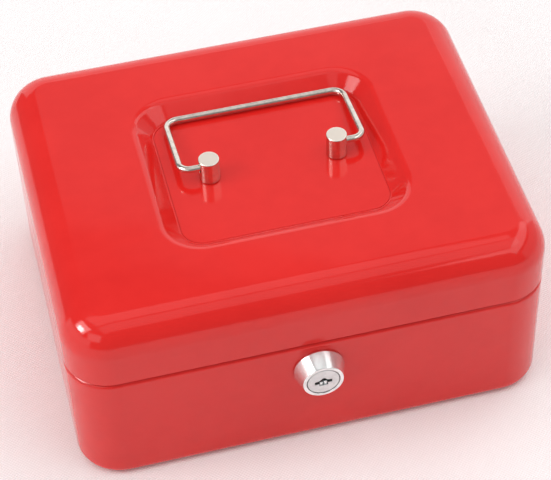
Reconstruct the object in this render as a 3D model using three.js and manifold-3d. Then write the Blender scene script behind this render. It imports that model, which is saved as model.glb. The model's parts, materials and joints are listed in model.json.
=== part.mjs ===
// Portable cash and collection box: pressed steel base and hinged lid, bail handle in a pressed
// recess, cam lock with a conical bezel, and a lift-out coin tray.
// Millimetres. The origin is the centre of the underside, X runs to the right along the front,
// Y to the back and Z up. The lid is closed, the handle lies back and the lock is unlocked.

import * as THREE from 'three';
import { mergeVertices } from 'three/addons/utils/BufferGeometryUtils.js';
import Module from 'manifold-3d';

const wasm = await Module();
wasm.setup();

// ---------------------------------------------------------------- driving dimensions

const GAP = 0.3; // kept between pieces that touch
const BOX = { width: 200, depth: 162, height: 88, cornerRadius: 19, sheet: 1.0, footRadius: 5.4 };
const LID = { edge: 59.3, topInset: 13, topDrop: 14.4 }; // topInset and topDrop: the rounded top edge
const NECK = { inset: 1.9, top: 66, shoulderTop: 58.5 }; // the rim of the base that the lid fits over
const RECESS = {
  x: 1.0, halfX: 44.5, halfY: 36.6, floorRadius: 9.5, depth: 6.7, slope: 42, rimRadius: 5,
};
const POST = {
  middleX: 2.4, spacing: 54.6, y: -0.2, radius: 4.4, height: 11,
  holeHeight: 6.7, holeRadius: 1.95, holeDepth: 6.6,
};
const SCREW = {
  shankRadius: 2, threadDepth: 3.9, headRadius: 3.7, headHeight: 2.4,
  washerRadius: 4.6, washerThickness: 0.8,
};
const BAIL = {
  wireRadius: 1.5, halfWidth: 39.2, reach: 35.8, bendRadius: 4.6, gripBendRadius: 5.4,
  tipPastPost: 1.2, droop: 7.2,
};
const HINGE = {
  x: 58, z: 59, halfWidth: 12, lidKnuckle: 4.7, knuckleRadius: 2.2, pinRadius: 1, pinOverhang: 0.6,
  plate: 1, plateReach: 13.8, corner: 3,
};
const RIVET = {
  fromPin: -10.3, x: 7, shankRadius: 1.5, headRadius: 2.8, headHeight: 1.2,
  tailRadius: 2.4, tailLength: 1.3,
};
const LOCK = {
  z: 44, faceRadius: 8.5, baseRadius: 10.65, protrusion: 8, plugRadius: 6.7, slotDepth: 11,
  barrelRadius: 9, barrelEnd: 14, shoulder: 12, neckRadius: 4.3, nutRadius: 12.6, nutThickness: 3.2,
};
const CAM = {
  thickness: 2, halfWidth: 3, hubRadius: 6.4, tipStart: 14.2, tipEnd: 18.8, tipReach: 7.9,
  square: 5, screwRadius: 1.25, screwHead: 4.2, screwHeadHeight: 1.8, screwDepth: 6,
};
const STRIKE = {
  sheet: 1.2, padLeft: 0, padRight: 24, padTop: 73, jogZ: 67.4, jogInset: 4,
  legLeft: 8.5, legRight: 15.5, legBottom: 54.6, fingerTop: 57.6, fingerLeft: 3.9,
};
const TRAY = {
  halfX: 90.5, front: -58, back: 69, bottom: 40, top: 64, draft: 1.8, cornerRadius: 12, wall: 1.6,
  lipReach: 1.5, lipThickness: 1.4, rowY: 4, coinCups: 4, notchRadius: 14, notchRise: 8,
};
const LEDGE = { innerX: 84, drop: 12, sheet: 1.2, front: -35, back: 45 }; // angle strip under the tray

// Facets of round shapes.
const FACETS = {
  corner: 6, trayCorner: 4, edge: 5, smallEdge: 2, large: 32, small: 16, tiny: 12, bailSteps: 64,
};

const frontFace = -BOX.depth / 2;
const backFace = BOX.depth / 2;
const recessFloor = BOX.height - RECESS.depth;
const pivotZ = recessFloor + POST.holeHeight;
const hingeY = backFace + GAP + HINGE.knuckleRadius;
const camFront = LOCK.barrelEnd + 0.6; // behind the front face
const radians = THREE.MathUtils.degToRad;

// ---------------------------------------------------------------- materials

function finish(color, roughness, metalness) {
  return new THREE.MeshStandardMaterial({ color, roughness, metalness });
}
const redEnamel = finish(0xd8201c, 0.28, 0.0);
const nickel = finish(0xcfc8bc, 0.22, 1.0);
const chrome = finish(0xd9d9dc, 0.08, 1.0);
const zincSteel = finish(0xa9adb0, 0.42, 1.0);
const trayPlastic = finish(0x2b2c2f, 0.55, 0.0);

// ---------------------------------------------------------------- solids

function toSolid(geometry) {
  const bare = geometry.clone();
  bare.deleteAttribute('normal');
  bare.deleteAttribute('uv');
  const merged = mergeVertices(bare, 1e-4);
  return new wasm.Manifold(new wasm.Mesh({
    numProp: 3,
    vertProperties: new Float32Array(merged.attributes.position.array),
    triVerts: new Uint32Array(merged.index.array),
  }));
}

function toGeometry(solid) {
  const mesh = solid.getMesh();
  const geometry = new THREE.BufferGeometry();
  geometry.setAttribute('position', new THREE.BufferAttribute(new Float32Array(mesh.vertProperties), 3));
  geometry.setIndex(new THREE.BufferAttribute(new Uint32Array(mesh.triVerts), 1));
  geometry.computeVertexNormals();
  return geometry;
}

function cut(geometry, tools) {
  return toGeometry(tools.reduce((solid, tool) => solid.subtract(toSolid(tool)), toSolid(geometry)));
}

function join(geometries) {
  return toGeometry(geometries.map(toSolid).reduce((solid, other) => solid.add(other)));
}

// A corner-to-corner block.
function block([x0, y0, z0], [x1, y1, z1]) {
  const geometry = new THREE.BoxGeometry(x1 - x0, y1 - y0, z1 - z0);
  return geometry.translate((x0 + x1) / 2, (y0 + y1) / 2, (z0 + z1) / 2);
}

// A rod along one axis, from one place on that axis to another, through a centre point.
function rod(axis, radius, from, to, [x, y, z] = [0, 0, 0], sides = FACETS.small) {
  const geometry = new THREE.CylinderGeometry(radius, radius, to - from, sides);
  geometry.translate(0, (from + to) / 2, 0);
  if (axis === 'x') geometry.rotateZ(-Math.PI / 2);
  if (axis === 'z') geometry.rotateX(Math.PI / 2);
  return geometry.translate(x, y, z);
}

// A turned piece on the Y axis. The profile holds [radius, place along the axis] pairs, anticlockwise:
// outwards at the low end, up, and back in. It starts and ends on the axis, or closes on itself.
function turned(profile, sides = FACETS.small) {
  const closed = profile[0][0] > 0 ? [...profile, profile[0]] : profile;
  return new THREE.LatheGeometry(closed.map(([radius, along]) => new THREE.Vector2(radius, along)), sides);
}

function turnedUp(profile, sides) {
  return turned(profile, sides).rotateX(Math.PI / 2);
}

// An outline in the XZ plane, given a thickness from one Y to another.
function plateXZ(shape, y0, y1) {
  const settings = { depth: y1 - y0, bevelEnabled: false, curveSegments: 4 };
  const geometry = new THREE.ExtrudeGeometry(shape, settings);
  return geometry.rotateX(Math.PI / 2).translate(0, y1, 0);
}

// An outline drawn in the YZ plane, run along X.
function barAlongX(shape, x0, x1) {
  const settings = { depth: x1 - x0, bevelEnabled: false, curveSegments: 6 };
  const geometry = new THREE.ExtrudeGeometry(shape, settings);
  return geometry.rotateX(Math.PI / 2).rotateZ(Math.PI / 2).translate(x0, 0, 0);
}

// ---------------------------------------------------------------- pressed and moulded shells

// One ring of points round a rounded rectangle, anticlockwise from above.
function ring({ halfX, halfY, radius, x = 0, y = 0, z, steps = FACETS.corner }) {
  const points = [];
  for (let corner = 0; corner < 4; corner += 1) {
    const signX = corner === 0 || corner === 3 ? 1 : -1;
    const signY = corner < 2 ? 1 : -1;
    for (let step = 0; step <= steps; step += 1) {
      const angle = (corner + step / steps) * Math.PI / 2;
      points.push(new THREE.Vector3(
        x + signX * (halfX - radius) + radius * Math.cos(angle),
        y + signY * (halfY - radius) + radius * Math.sin(angle),
        z,
      ));
    }
  }
  return points;
}

// A closed body through a stack of rings, with a flat cap facing down first and up last.
function loft(rings) {
  const count = rings[0].length;
  const positions = rings.flat().flatMap((point) => [point.x, point.y, point.z]);
  const index = [];
  for (let level = 0; level + 1 < rings.length; level += 1) {
    for (let side = 0; side < count; side += 1) {
      const a = level * count + side;
      const b = level * count + (side + 1) % count;
      index.push(a, b, b + count, a, b + count, a + count);
    }
  }
  const last = (rings.length - 1) * count;
  for (let side = 1; side + 1 < count; side += 1) {
    index.push(0, side + 1, side);
    index.push(last, last + side, last + side + 1);
  }
  const geometry = new THREE.BufferGeometry();
  geometry.setAttribute('position', new THREE.Float32BufferAttribute(positions, 3));
  geometry.setIndex(index);
  return geometry;
}

// [inset, height] pairs along an elliptic arc, angles in degrees.
function arc([inset, height], [radiusX, radiusZ], from, to, steps = FACETS.edge) {
  return Array.from({ length: steps + 1 }, (_, step) => {
    const angle = radians(from + (to - from) * step / steps);
    return [inset + radiusX * Math.cos(angle), height + radiusZ * Math.sin(angle)];
  });
}

function boxRing([inset, z]) {
  return ring({
    halfX: BOX.width / 2 - inset,
    halfY: BOX.depth / 2 - inset,
    radius: BOX.cornerRadius - inset,
    z,
  });
}

function recessRing([grow, z]) {
  return ring({
    halfX: RECESS.halfX + grow,
    halfY: RECESS.halfY + grow,
    radius: RECESS.floorRadius + grow,
    x: RECESS.x,
    z,
  });
}

// ---------------------------------------------------------------- base

function rivetPlaces(side) {
  const z = HINGE.z - side * RIVET.fromPin;
  return [-HINGE.x, HINGE.x].flatMap((x) => [-RIVET.x, RIVET.x].map((dx) => [x + dx, z]));
}

function rivetHoles(side) {
  const radius = RIVET.shankRadius + GAP;
  return rivetPlaces(side).map(([x, z]) => rod('y', radius, backFace - 4, backFace + 4, [x, 0, z]));
}

function baseShell() {
  const { sheet, footRadius: foot } = BOX;
  const shoulder = NECK.inset;
  const shoulderZ = NECK.shoulderTop - shoulder;
  const half = sheet / 2;
  const profile = [
    ...arc([foot, foot], [foot, foot], -90, -180),
    ...arc([shoulder, shoulderZ], [shoulder, shoulder], 180, 90, 3),
    ...arc([NECK.inset + half, NECK.top - half], [half, half], 180, 0, 2 * FACETS.smallEdge),
    [NECK.inset + sheet, NECK.shoulderTop - sheet],
    ...arc([shoulder, shoulderZ], [shoulder - sheet, shoulder - sheet], 90, 180, FACETS.smallEdge),
    ...arc([foot, foot], [foot - sheet, foot - sheet], 180, 270, 3),
  ];
  const holeRadius = LOCK.barrelRadius + GAP;
  const lockHole = rod('y', holeRadius, frontFace - 2, frontFace + 4, [0, 0, LOCK.z], FACETS.large);
  return cut(loft(profile.map(boxRing)), [lockHole, ...rivetHoles(-1)]);
}

// ---------------------------------------------------------------- lid

function lidShell() {
  const { sheet, height } = BOX;
  const { edge, topInset, topDrop } = LID;
  const slope = radians(RECESS.slope);
  const rim = RECESS.rimRadius;
  const run = rim * Math.sin(slope) + (RECESS.depth - rim * (1 - Math.cos(slope))) / Math.tan(slope);
  const half = sheet / 2;
  const under = [
    [sheet * Math.tan(slope / 2), recessFloor - sheet],
    ...arc([run, height - rim], [-(rim - sheet), rim - sheet], 90 - RECESS.slope, 90),
  ];
  const skirt = [
    ...arc([topInset, height - topDrop], [topInset - sheet, topDrop - sheet], 90, 180),
    ...arc([half, edge + half], [half, half], 0, -180, 2 * FACETS.smallEdge),
    ...arc([topInset, height - topDrop], [topInset, topDrop], 180, 90),
  ];
  const over = [
    ...arc([run, height - rim], [-rim, rim], 90, 90 - RECESS.slope),
    [0, recessFloor],
  ];
  const holeRadius = SCREW.shankRadius + GAP;
  const screwHoles = postPlaces().map((x) => (
    rod('z', holeRadius, recessFloor - 3, recessFloor + 2, [x, POST.y, 0])));
  const rings = [...under.map(recessRing), ...skirt.map(boxRing), ...over.map(recessRing)];
  return cut(loft(rings), [...screwHoles, ...rivetHoles(1)]);
}

// ---------------------------------------------------------------- handle

function postPlaces() {
  return [-1, 1].map((side) => POST.middleX + side * POST.spacing / 2);
}

// The post stands on the recess floor. Its blind cross hole opens on the outer side.
function handlePost(side) {
  const { radius, height, holeHeight, holeRadius, holeDepth } = POST;
  const body = turnedUp([
    [0, GAP], [radius, GAP], [radius, height - GAP], [radius - GAP, height], [0, height],
  ], FACETS.large);
  const ends = [side * (radius + 1), side * (radius - holeDepth)].sort((a, b) => a - b);
  const crossHole = rod('x', holeRadius, ...ends, [0, 0, holeHeight]);
  const threadHole = rod('z', SCREW.shankRadius + GAP, -1, SCREW.threadDepth + GAP);
  return cut(body, [crossHole, threadHole]);
}

// A quarter bend in the XY plane, from one angle to another in degrees.
class Bend extends THREE.Curve {
  constructor(x, y, radius, from, to) {
    super();
    Object.assign(this, { x, y, radius, from, to });
  }

  getPoint(t) {
    const angle = radians(this.from + (this.to - this.from) * t);
    const x = this.x + this.radius * Math.cos(angle);
    const y = this.y + this.radius * Math.sin(angle);
    return new THREE.Vector3(x, y, 0);
  }
}

// Centre line of the wire: from inside one post outwards, back along a leg, over the grip, and mirrored.
function bailPath() {
  const { halfWidth, reach, bendRadius: bend, gripBendRadius: grip } = BAIL;
  const tip = POST.spacing / 2 - BAIL.tipPastPost;
  const line = (x0, y0, x1, y1) => (
    new THREE.LineCurve3(new THREE.Vector3(x0, y0, 0), new THREE.Vector3(x1, y1, 0)));
  const path = new THREE.CurvePath();
  path.add(line(-tip, 0, -halfWidth + bend, 0));
  path.add(new Bend(-halfWidth + bend, bend, bend, 270, 180));
  path.add(line(-halfWidth, bend, -halfWidth, reach - grip));
  path.add(new Bend(-halfWidth + grip, reach - grip, grip, 180, 90));
  path.add(line(-halfWidth + grip, reach, halfWidth - grip, reach));
  path.add(new Bend(halfWidth - grip, reach - grip, grip, 90, 0));
  path.add(line(halfWidth, reach - grip, halfWidth, bend));
  path.add(new Bend(halfWidth - bend, bend, bend, 0, -90));
  path.add(line(halfWidth - bend, 0, tip, 0));
  return path;
}

function bailWire() {
  const section = new THREE.Shape().absarc(0, 0, BAIL.wireRadius, 0, Math.PI * 2);
  const settings = {
    steps: FACETS.bailSteps, curveSegments: 5, extrudePath: bailPath(), bevelEnabled: false,
  };
  return toGeometry(toSolid(new THREE.ExtrudeGeometry(section, settings)));
}

// A pan head with a cross recess hangs below z = 0, and its shank rises above it.
function panScrew(shankRadius, shankLength, headRadius, headHeight) {
  const tipChamfer = 0.4;
  const body = turnedUp([
    [0, -headHeight], [headRadius * 0.6, -headHeight], [headRadius * 0.92, -headHeight * 0.72],
    [headRadius, -headHeight * 0.3], [headRadius, 0], [shankRadius, 0],
    [shankRadius, shankLength - tipChamfer], [shankRadius - tipChamfer, shankLength], [0, shankLength],
  ]);
  const arm = headRadius * 0.55;
  const halfSlot = 0.35;
  const slot = (x, y) => block([-x, -y, -headHeight - 1], [x, y, -headHeight * 0.45]);
  return cut(body, [slot(arm, halfSlot), slot(halfSlot, arm)]);
}

function postWasher() {
  const inner = SCREW.shankRadius + GAP;
  const { washerRadius: outer, washerThickness: thickness } = SCREW;
  return turnedUp([[inner, 0], [outer, 0], [outer, thickness], [inner, thickness]]);
}

// ---------------------------------------------------------------- hinges

// The leaf's frame has the pin along the X axis and the leaf hanging below it, its back to the wall.
// The knuckles are [from, to] stretches of the pin.
function hingeLeaf(knuckles) {
  const { knuckleRadius: outer, plate, plateReach, halfWidth, corner } = HINGE;
  const wall = -outer;
  const meet = -Math.sqrt(outer ** 2 - (outer - plate) ** 2);
  const section = new THREE.Shape();
  section.moveTo(wall, -plateReach / 2);
  section.lineTo(wall + plate, -plateReach / 2);
  section.lineTo(wall + plate, meet);
  section.absarc(0, 0, outer, Math.atan2(meet, wall + plate), Math.PI, false);
  section.closePath();
  section.holes.push(new THREE.Path().absarc(0, 0, HINGE.pinRadius + GAP, 0, Math.PI * 2, true));
  const top = -outer - GAP;
  const outline = new THREE.Shape();
  outline.moveTo(halfWidth, top);
  outline.lineTo(-halfWidth, top);
  outline.absarc(-halfWidth + corner, -plateReach + corner, corner, Math.PI, Math.PI * 1.5, false);
  outline.absarc(halfWidth - corner, -plateReach + corner, corner, Math.PI * 1.5, Math.PI * 2, false);
  outline.closePath();
  const leaf = join([
    plateXZ(outline, wall, wall + plate),
    ...knuckles.map(([from, to]) => barAlongX(section, from, to)),
  ]);
  const holes = [-RIVET.x, RIVET.x].map((x) => (
    rod('y', RIVET.shankRadius + GAP, wall - 1, wall + plate + 1, [x, 0, RIVET.fromPin])));
  return cut(leaf, holes);
}

// The rivet's frame has Y = 0 on the outer face of the wall, and Y runs outwards.
function hingeRivet() {
  const { shankRadius, headRadius, headHeight, tailRadius, tailLength } = RIVET;
  const seat = GAP + HINGE.plate + GAP;
  const tail = -BOX.sheet - GAP;
  return turned([
    [0, tail - tailLength], [tailRadius, tail - tailLength], [tailRadius, tail],
    [shankRadius, tail], [shankRadius, seat], [headRadius, seat],
    [headRadius * 0.75, seat + headHeight * 0.75], [0, seat + headHeight],
  ], FACETS.tiny);
}

function hingePin() {
  const { halfWidth, pinRadius: radius, pinOverhang } = HINGE;
  const end = halfWidth + pinOverhang;
  const crown = 0.3;
  return turned([
    [0, -end], [radius - crown, -end], [radius, -end + crown],
    [radius, end - crown], [radius - crown, end], [0, end],
  ], FACETS.tiny).rotateZ(-Math.PI / 2);
}

// ---------------------------------------------------------------- lock

// The lock's frame has its axis along Y, Y = 0 on the outer face of the front wall, and Y runs inwards.
function lockHousing() {
  const { faceRadius, baseRadius, protrusion, barrelRadius, barrelEnd, shoulder } = LOCK;
  const bore = LOCK.plugRadius + GAP;
  const neckBore = LOCK.neckRadius + GAP;
  return toGeometry(toSolid(turned([
    [bore, -protrusion], [faceRadius - 0.2, -protrusion], [faceRadius, -protrusion + 0.2],
    [baseRadius, -0.9], [baseRadius, -GAP], [barrelRadius, -GAP], [barrelRadius, barrelEnd],
    [neckBore, barrelEnd], [neckBore, shoulder], [bore, shoulder],
  ], FACETS.large)));
}

// The key slot is arched, wide enough for a grooved flat key.
function keySlot() {
  const shape = new THREE.Shape();
  shape.moveTo(-3.6, -0.8);
  shape.lineTo(-3.6, 0.45);
  shape.lineTo(-2.4, 0.55);
  shape.quadraticCurveTo(-0.2, 2.3, 2.0, 0.95);
  shape.lineTo(3.6, 0.75);
  shape.lineTo(3.6, -0.45);
  shape.lineTo(2.0, -0.3);
  shape.quadraticCurveTo(0.2, 1.0, -1.8, -0.75);
  shape.closePath();
  return plateXZ(shape, -LOCK.protrusion - 1, -LOCK.protrusion + LOCK.slotDepth);
}

function lockPlug() {
  const { plugRadius: radius, neckRadius, protrusion, shoulder, barrelEnd } = LOCK;
  const front = -protrusion + 0.1;
  const body = turned([
    [0, front], [radius - 0.2, front], [radius, front + 0.2], [radius, shoulder - GAP],
    [neckRadius, shoulder - GAP], [neckRadius, barrelEnd + GAP], [0, barrelEnd + GAP],
  ], FACETS.large);
  const half = CAM.square / 2;
  const tail = block([-half, barrelEnd, -half], [half, camFront + CAM.thickness - GAP, half]);
  const screwHole = rod('y', CAM.screwRadius + GAP, camFront - CAM.screwDepth - GAP, camFront + 4);
  return cut(join([body, tail]), [keySlot(), screwHole]);
}

function lockNut() {
  const { nutRadius, nutThickness, barrelRadius } = LOCK;
  const near = BOX.sheet + GAP;
  const hexagon = rod('y', nutRadius, near, near + nutThickness, [0, 0, 0], 6);
  return cut(hexagon, [rod('y', barrelRadius + GAP, 0, near + nutThickness + 1, [0, 0, 0], FACETS.large)]);
}

// Drawn as it lies when locked: the shank stands up and the hooked tip points to the right.
function lockCam() {
  const { thickness, halfWidth, hubRadius, tipStart, tipEnd, tipReach, square } = CAM;
  const back = camFront + thickness;
  const half = square / 2 + GAP;
  const plate = join([
    rod('y', hubRadius, camFront, back, [0, 0, 0], FACETS.large),
    block([-halfWidth, camFront, 0], [halfWidth, back, tipEnd]),
    block([-halfWidth, camFront, tipStart], [tipReach, back, tipEnd]),
  ]);
  return cut(plate, [block([-half, camFront - 1, -half], [half, back + 1, half])]);
}

function camScrew() {
  const shank = CAM.screwDepth + CAM.thickness + GAP;
  return panScrew(CAM.screwRadius, shank, CAM.screwHead, CAM.screwHeadHeight).rotateX(Math.PI / 2);
}

// One bent plate: a pad welded inside the lid's front, a jog over the neck, and a leg with a finger
// that the cam's tip closes over.
function lidStrike() {
  const { sheet, padLeft, padRight, padTop, jogZ, jogInset } = STRIKE;
  const { legLeft, legRight, legBottom, fingerTop, fingerLeft } = STRIKE;
  const padFront = frontFace + BOX.sheet + GAP;
  const legFront = frontFace + camFront + (CAM.thickness - sheet) / 2;
  const legBack = legFront + sheet;
  return join([
    block([padLeft, padFront, jogZ], [padRight, padFront + sheet, padTop]),
    block([padLeft + jogInset, padFront, jogZ], [padRight - jogInset, legBack, jogZ + sheet]),
    block([legLeft, legFront, legBottom], [legRight, legBack, jogZ + sheet]),
    block([fingerLeft, legFront, legBottom], [legRight, legBack, fingerTop]),
  ]);
}

// ---------------------------------------------------------------- coin tray

// A block with drafted sides and a rounded bottom edge: [low, high] in x and y at the top.
function moulding([x0, x1], [y0, y1], [bottom, top], { draft, cornerRadius, bottomRadius }) {
  const levels = arc([bottomRadius, bottom + bottomRadius], [bottomRadius, bottomRadius], -90, -180, 3);
  const slope = draft / (top - bottom);
  return loft([...levels, [0, top]].map(([inset, z]) => {
    const shrink = inset + (top - z) * slope;
    return ring({
      halfX: (x1 - x0) / 2 - shrink,
      halfY: (y1 - y0) / 2 - shrink,
      radius: Math.max(cornerRadius - shrink, 0.5),
      x: (x0 + x1) / 2,
      y: (y0 + y1) / 2,
      z,
      steps: FACETS.trayCorner,
    });
  }));
}

function coinTray() {
  const { halfX, front, back, bottom, top, draft, cornerRadius, wall, rowY, coinCups } = TRAY;
  const inside = halfX - wall;
  const floor = bottom + wall;
  const body = moulding([-halfX, halfX], [front, back], [bottom, top],
    { draft, cornerRadius, bottomRadius: 3 });
  const lip = loft([top - TRAY.lipThickness, top].map((z) => ring({
    halfX: halfX + TRAY.lipReach,
    halfY: (back - front) / 2 + TRAY.lipReach,
    radius: cornerRadius + TRAY.lipReach,
    y: (back + front) / 2,
    z,
    steps: FACETS.trayCorner,
  })));
  const pocketTop = top + 1;
  const noteBay = moulding([-inside, inside], [rowY + wall / 2, back - wall], [floor, pocketTop],
    { draft, cornerRadius: cornerRadius - wall, bottomRadius: 4 });
  const pitch = (2 * inside + wall) / coinCups;
  const cups = Array.from({ length: coinCups }, (_, place) => {
    const left = -inside + place * pitch;
    return moulding([left, left + pitch - wall], [front + wall, rowY - wall / 2], [floor, pocketTop],
      { draft, cornerRadius: 9, bottomRadius: 8 });
  });
  const notchMiddle = [0, 0, top + TRAY.notchRise];
  const notchFront = front - TRAY.lipReach - 1;
  const notch = rod('y', TRAY.notchRadius, notchFront, front + wall + 0.5, notchMiddle, FACETS.large);
  return cut(join([body, lip]), [noteBay, ...cups, notch]);
}

// An angle strip welded inside a side wall of the base. The tray rests on its flat top.
function trayLedge(side) {
  const { innerX, drop, sheet, front, back } = LEDGE;
  const top = TRAY.bottom - GAP;
  const wall = BOX.width / 2 - BOX.sheet - GAP;
  const strip = (near, far, low) => {
    const [x0, x1] = [side * near, side * far].sort((a, b) => a - b);
    return block([x0, front, low], [x1, back, top]);
  };
  return join([strip(innerX, wall, top - sheet), strip(wall - sheet, wall, top - drop)]);
}

// ---------------------------------------------------------------- assembly

function piece(name, geometry, material, [x, y, z] = [0, 0, 0]) {
  const mesh = new THREE.Mesh(geometry, material);
  mesh.name = name;
  mesh.position.set(x, y, z);
  return mesh;
}

function assembly(pieces, [x, y, z] = [0, 0, 0]) {
  const group = new THREE.Group();
  group.add(...pieces);
  group.position.set(x, y, z);
  return group;
}

const sideNames = { '-1': 'left', 1: 'right' };

function hinge(side) {
  const { halfWidth, lidKnuckle } = HINGE;
  const outerKnuckles = [[-halfWidth, -lidKnuckle - GAP], [lidKnuckle + GAP, halfWidth]];
  const name = sideNames[side];
  return assembly([
    piece(`hinge_base_leaf_${name}`, hingeLeaf(outerKnuckles), zincSteel),
    piece(`hinge_lid_leaf_${name}`, hingeLeaf([[-lidKnuckle, lidKnuckle]]).rotateY(Math.PI), zincSteel),
    piece(`hinge_pin_${name}`, hingePin(), zincSteel),
  ], [side * HINGE.x, hingeY, HINGE.z]);
}

function rivets(owner, side) {
  return rivetPlaces(side).map(([x, z], place) => (
    piece(`hinge_${owner}_rivet_${place + 1}`, hingeRivet(), zincSteel, [x, backFace, z])));
}

function handleFixings(side, x) {
  const name = sideNames[side];
  const washerTop = recessFloor - BOX.sheet - GAP;
  const washerZ = washerTop - SCREW.washerThickness;
  const screwZ = washerZ - GAP;
  const shank = recessFloor + SCREW.threadDepth - screwZ;
  return [
    piece(`handle_post_${name}`, handlePost(side), nickel, [x, POST.y, recessFloor]),
    piece(`post_washer_${name}`, postWasher(), zincSteel, [x, POST.y, washerZ]),
    piece(`post_screw_${name}`, panScrew(SCREW.shankRadius, shank, SCREW.headRadius, SCREW.headHeight),
      zincSteel, [x, POST.y, screwZ]),
  ];
}

function handle() {
  const bail = piece('handle_bail', bailWire(), nickel);
  bail.rotation.x = -radians(BAIL.droop);
  return assembly([bail], [POST.middleX, POST.y, pivotZ]);
}

function lock() {
  const cam = piece('lock_cam', lockCam(), zincSteel);
  cam.rotation.y = -Math.PI / 2;
  return assembly([
    piece('lock_housing', lockHousing(), chrome),
    piece('lock_plug', lockPlug(), chrome),
    piece('lock_nut', lockNut(), zincSteel),
    piece('lock_cam_screw', camScrew(), zincSteel, [0, camFront + CAM.thickness + GAP, 0]),
    cam,
  ], [0, frontFace, LOCK.z]);
}

function cashBox() {
  const [leftPost, rightPost] = postPlaces();
  return assembly([
    piece('base_shell', baseShell(), redEnamel),
    piece('lid_shell', lidShell(), redEnamel),
    piece('lid_strike', lidStrike(), zincSteel),
    piece('coin_tray', coinTray(), trayPlastic),
    piece('tray_ledge_left', trayLedge(-1), zincSteel),
    piece('tray_ledge_right', trayLedge(1), zincSteel),
    hinge(-1), hinge(1), ...rivets('base', -1), ...rivets('lid', 1),
    ...handleFixings(-1, leftPost), ...handleFixings(1, rightPost), handle(),
    lock(),
  ]);
}

export default cashBox();
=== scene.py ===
import json
import math
from contextlib import contextmanager

import bmesh
import bpy
from mathutils import Matrix, Vector


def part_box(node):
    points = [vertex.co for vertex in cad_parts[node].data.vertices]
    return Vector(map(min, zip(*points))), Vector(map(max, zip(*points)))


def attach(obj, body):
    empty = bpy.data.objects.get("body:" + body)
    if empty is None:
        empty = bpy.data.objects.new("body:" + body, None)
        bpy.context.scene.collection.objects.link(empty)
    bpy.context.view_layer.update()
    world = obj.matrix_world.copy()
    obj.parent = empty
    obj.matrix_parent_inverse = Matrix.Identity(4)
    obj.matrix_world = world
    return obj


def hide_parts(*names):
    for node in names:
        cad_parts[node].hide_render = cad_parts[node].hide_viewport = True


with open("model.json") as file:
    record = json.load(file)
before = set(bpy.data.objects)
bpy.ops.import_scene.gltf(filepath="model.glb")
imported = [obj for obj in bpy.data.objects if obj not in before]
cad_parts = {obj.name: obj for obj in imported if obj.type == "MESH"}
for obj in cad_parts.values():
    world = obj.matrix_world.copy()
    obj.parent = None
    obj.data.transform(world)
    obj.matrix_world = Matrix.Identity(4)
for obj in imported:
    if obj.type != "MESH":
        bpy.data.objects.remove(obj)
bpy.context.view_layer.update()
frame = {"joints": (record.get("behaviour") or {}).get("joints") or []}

# A pressed steel cash and collection box: enamelled base and lid, bail handle in a pressed recess,
# conical cam lock, leaf hinges at the back and a coin tray inside. Metres, in the frame of the CAD.

# ---------------------------------------------------------------- sizes

MM = 0.001
NEAR = 0.01 * MM        # how close a place has to be to count as the same
CORNER_STEPS = 20       # facets of a shell's upright corner
EDGE_STEPS = 14         # facets of a pressed edge
SIDES = 64              # facets of a turned piece
WIRE_SIDES = 32
SMOOTH_ANGLE = math.radians(35)     # edges sharper than this stay sharp in the shading
STUDIO_RADIUS = 2.0     # how far away the lights are
THREAD = 1.5 * MM       # the weave of the floor cloth
GAP = 0.3               # between pieces that touch, in millimetres

SHEET = 1.0 * MM
BOX_CORNER = 19 * MM
FOOT_ROUND = 5.4 * MM
SHOULDER = 1.9 * MM     # the step in from the base's wall to the neck that the lid covers
SHOULDER_TOP = 58.5 * MM
NECK_EDGE = 0.45 * MM   # the rounding of the sheet's bare edges
SKIRT_EDGE = 0.4 * MM
LOCK_HOLE = 9.3 * MM    # radii of the holes through the sheet
SCREW_HOLE = 2.3 * MM
RIVET_HOLE = 1.8 * MM
LID_EDGE_RUN = 13 * MM  # the lid's rounded top edge: how far in it runs, and how far down
LID_EDGE_DROP = 14.4 * MM

RECESS_MIDDLE_X = 1.0 * MM
RECESS_FLOOR = Vector((44.5, 36.6)) * MM    # half its size
RECESS_FLOOR_ROUND = 9.5 * MM
RECESS_DEPTH = 6.7 * MM
RECESS_SLOPE = math.radians(42)
RECESS_RIM = 5 * MM
RECESS_CREASE = 0.3 * MM

# A fine groove that the press die leaves round the recess floor, in insets and rises in millimetres.
DIE_LINE = ((0.05, 0), (0.05, -0.35), (0.22, 0), (0.05, 0.35))

UP, DOWN = Vector((0, 0, 1)), Vector((0, 0, -1))
RIGHT, LEFT = Vector((1, 0, 0)), Vector((-1, 0, 0))
BACK, FRONT = Vector((0, 1, 0)), Vector((0, -1, 0))


# ---------------------------------------------------------------- modelling by hand

def release():
    """Leaves edit mode and selects nothing."""
    if bpy.context.object and bpy.context.object.mode == "EDIT":
        bpy.ops.object.mode_set(mode="OBJECT")
    bpy.ops.object.select_all(action="DESELECT")


def activate(piece):
    release()
    piece.select_set(True)
    bpy.context.view_layer.objects.active = piece


def settle(name):
    """Names the new primitive and puts its place into its mesh."""
    piece = bpy.context.object
    piece.name = piece.data.name = name
    bpy.ops.object.transform_apply(location=True, rotation=True, scale=True)
    return piece


@contextmanager
def editing(piece):
    activate(piece)
    bpy.ops.object.mode_set(mode="EDIT")
    bpy.ops.mesh.select_mode(type="VERT")
    bpy.ops.mesh.select_all(action="SELECT")
    yield
    bpy.ops.object.mode_set(mode="OBJECT")


def pick(piece, kind, test):
    """In edit mode, selects the vertices, edges or faces that pass the test."""
    bpy.ops.mesh.select_all(action="DESELECT")
    bpy.ops.mesh.select_mode(type=kind)
    mesh = bmesh.from_edit_mesh(piece.data)
    mesh.normal_update()
    for item in {"VERT": mesh.verts, "EDGE": mesh.edges, "FACE": mesh.faces}[kind]:
        if test(item):
            item.select_set(True)
    bmesh.update_edit_mesh(piece.data)


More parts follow.
